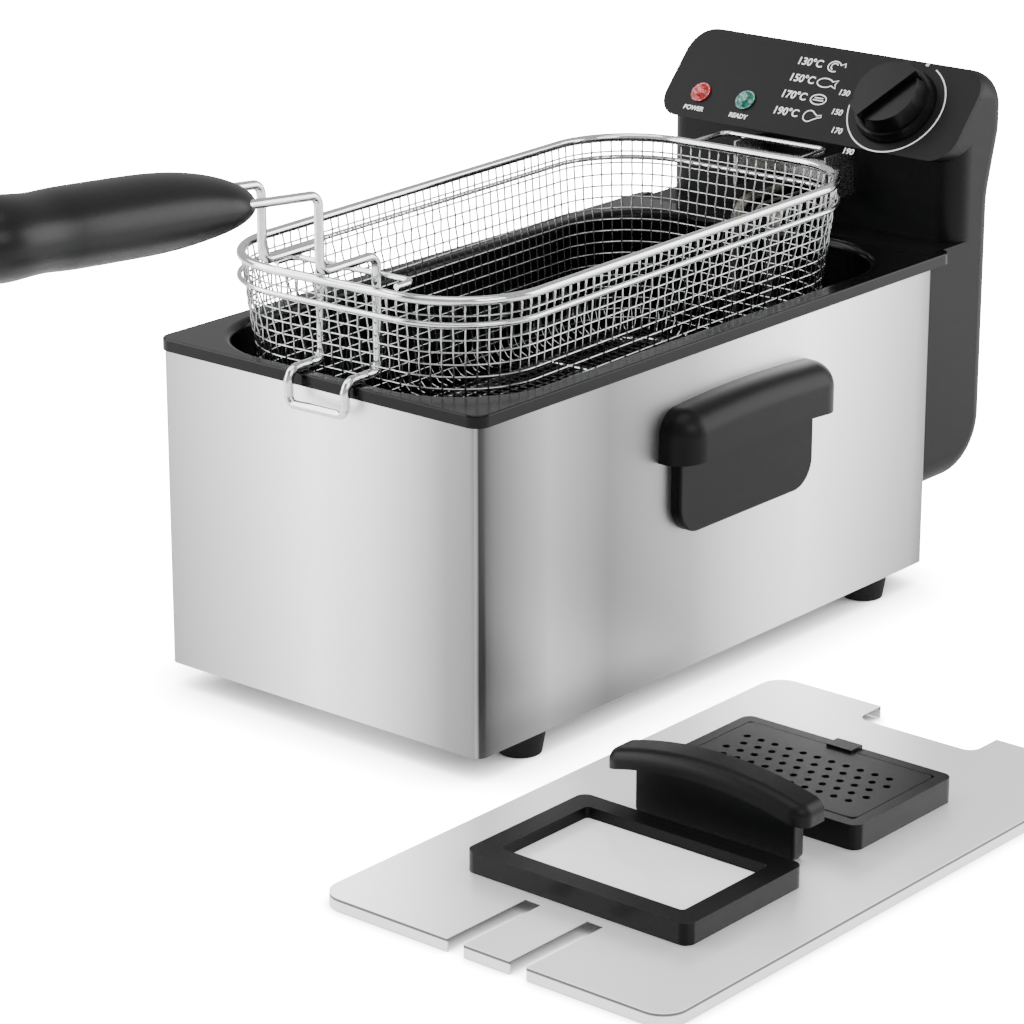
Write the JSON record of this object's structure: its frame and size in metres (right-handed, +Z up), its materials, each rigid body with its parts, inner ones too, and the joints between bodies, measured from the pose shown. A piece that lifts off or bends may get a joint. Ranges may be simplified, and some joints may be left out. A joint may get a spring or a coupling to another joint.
{
  "type": "deep fryer",
  "caption": "Household deep fryer: steel casing, oil pot, lift-off control head with dial and element, wire basket hung up to drain, and a windowed lid beside it.",
  "frame": {"origin": "middle of the whole set's footprint, on the floor", "axes": "+Z up, +Y from the basket handle towards the control head, +X towards the lid"},
  "size_m": [0.44, 0.6678, 0.3058],
  "materials": {
    "brushed_casing": "brushed along the length, bright",
    "lid_steel": "finely brushed, pale",
    "plain_steel": "plain mill finish",
    "pot_enamel": "glossy black on the rim, dark grey inside",
    "black_plastic": "satin black",
    "panel_plastic": "satin dark grey",
    "knob_plastic": "glossy black",
    "grip_plastic": "soft satin black",
    "rubber": "matte",
    "fastener_steel": "zinc bright",
    "chrome_wire": "bright",
    "element_steel": "dull, heat toned",
    "lamp_red": "clear red jewel",
    "lamp_green": "clear blue-green jewel",
    "window_glass": "clear",
    "filter_felt": "pale felt",
    "inner_plastic": "natural, unpainted"
  },
  "bodies": {
    "fryer": {"outer_casing": "brushed_casing", "base_plate": "plain_steel", "dock_rail_left": "plain_steel", "dock_rail_right": "plain_steel", "foot_front_left": "rubber", "foot_front_right": "rubber", "foot_rear_left": "rubber", "foot_rear_right": "rubber", "foot_screws": "fastener_steel", "foot_nuts": "fastener_steel", "side_handle_screws": "fastener_steel", "side_handle_left": "black_plastic", "side_handle_right": "black_plastic"},
    "pot": {"oil_pot": "pot_enamel"},
    "head": {"control_panel": "panel_plastic", "head_front_cover": "black_plastic", "head_rear_cover": "black_plastic", "head_screws": "fastener_steel", "bracket_rivets": "fastener_steel", "thermostat_body": "inner_plastic", "power_lamp_body": "inner_plastic", "ready_lamp_body": "inner_plastic", "terminal_block": "inner_plastic", "safety_switch": "inner_plastic", "thermal_cutout": "inner_plastic", "power_lamp_lens": "lamp_red", "ready_lamp_lens": "lamp_green", "heating_element": "element_steel", "sensor_bulb": "element_steel", "capillary_tube": "element_steel", "sensor_clip": "element_steel", "hanger_bracket": "element_steel", "inlet_grommet": "rubber"},
    "dial": {"temperature_knob": "knob_plastic", "thermostat_shaft": "fastener_steel"},
    "reset": {"reset_button": "knob_plastic"},
    "basket": {"basket_mesh": "chrome_wire", "basket_rim": "chrome_wire", "basket_hoop": "chrome_wire", "basket_base_frame": "chrome_wire", "basket_rest_loop": "chrome_wire", "basket_handle_wire": "chrome_wire", "handle_brace": "chrome_wire", "handle_grip": "grip_plastic"},
    "lid": {"lid_sheet": "lid_steel", "window_frame": "black_plastic", "filter_housing": "black_plastic", "lid_handle": "black_plastic", "window_glass": "window_glass", "window_seal": "rubber", "filter_pad": "filter_felt", "lid_handle_screws": "fastener_steel"},
    "vent_cover": {"filter_cover": "black_plastic"}
  },
  "joints": [
    {"name": "pot_lift", "type": "slide", "parent": "fryer", "child": "pot", "axis": [0, 0, 1], "range_m": [0, 0.2]},
    {"name": "head_lift", "type": "slide", "parent": "pot", "child": "head", "axis": [0, 0, 1], "range_m": [0, 0.2]},
    {"name": "basket_lift", "type": "slide", "parent": "head", "child": "basket", "axis": [0, 0, 1], "range_m": [0, 0.25]},
    {"name": "dial_turn", "type": "hinge", "parent": "head", "child": "dial", "pos_m": [-0.052, 0.29581, 0.24364], "axis": [0, -0.7373, 0.6756], "range_deg": [-270, 0]},
    {"name": "reset_press", "type": "slide", "parent": "head", "child": "reset", "axis": [0, -1, 0], "range_m": [0, 0.002], "stiffness_N_per_m": 500, "springref_m": -0.002},
    {"name": "lid_lift", "type": "slide", "parent": "fryer", "child": "lid", "axis": [0, 0, 1], "range_m": [0, 0.25]},
    {"name": "cover_open", "type": "hinge", "parent": "lid", "child": "vent_cover", "pos_m": [0.125, -0.0545, 0.0168], "axis": [1, 0, 0], "range_deg": [0, 85]}
  ]
}
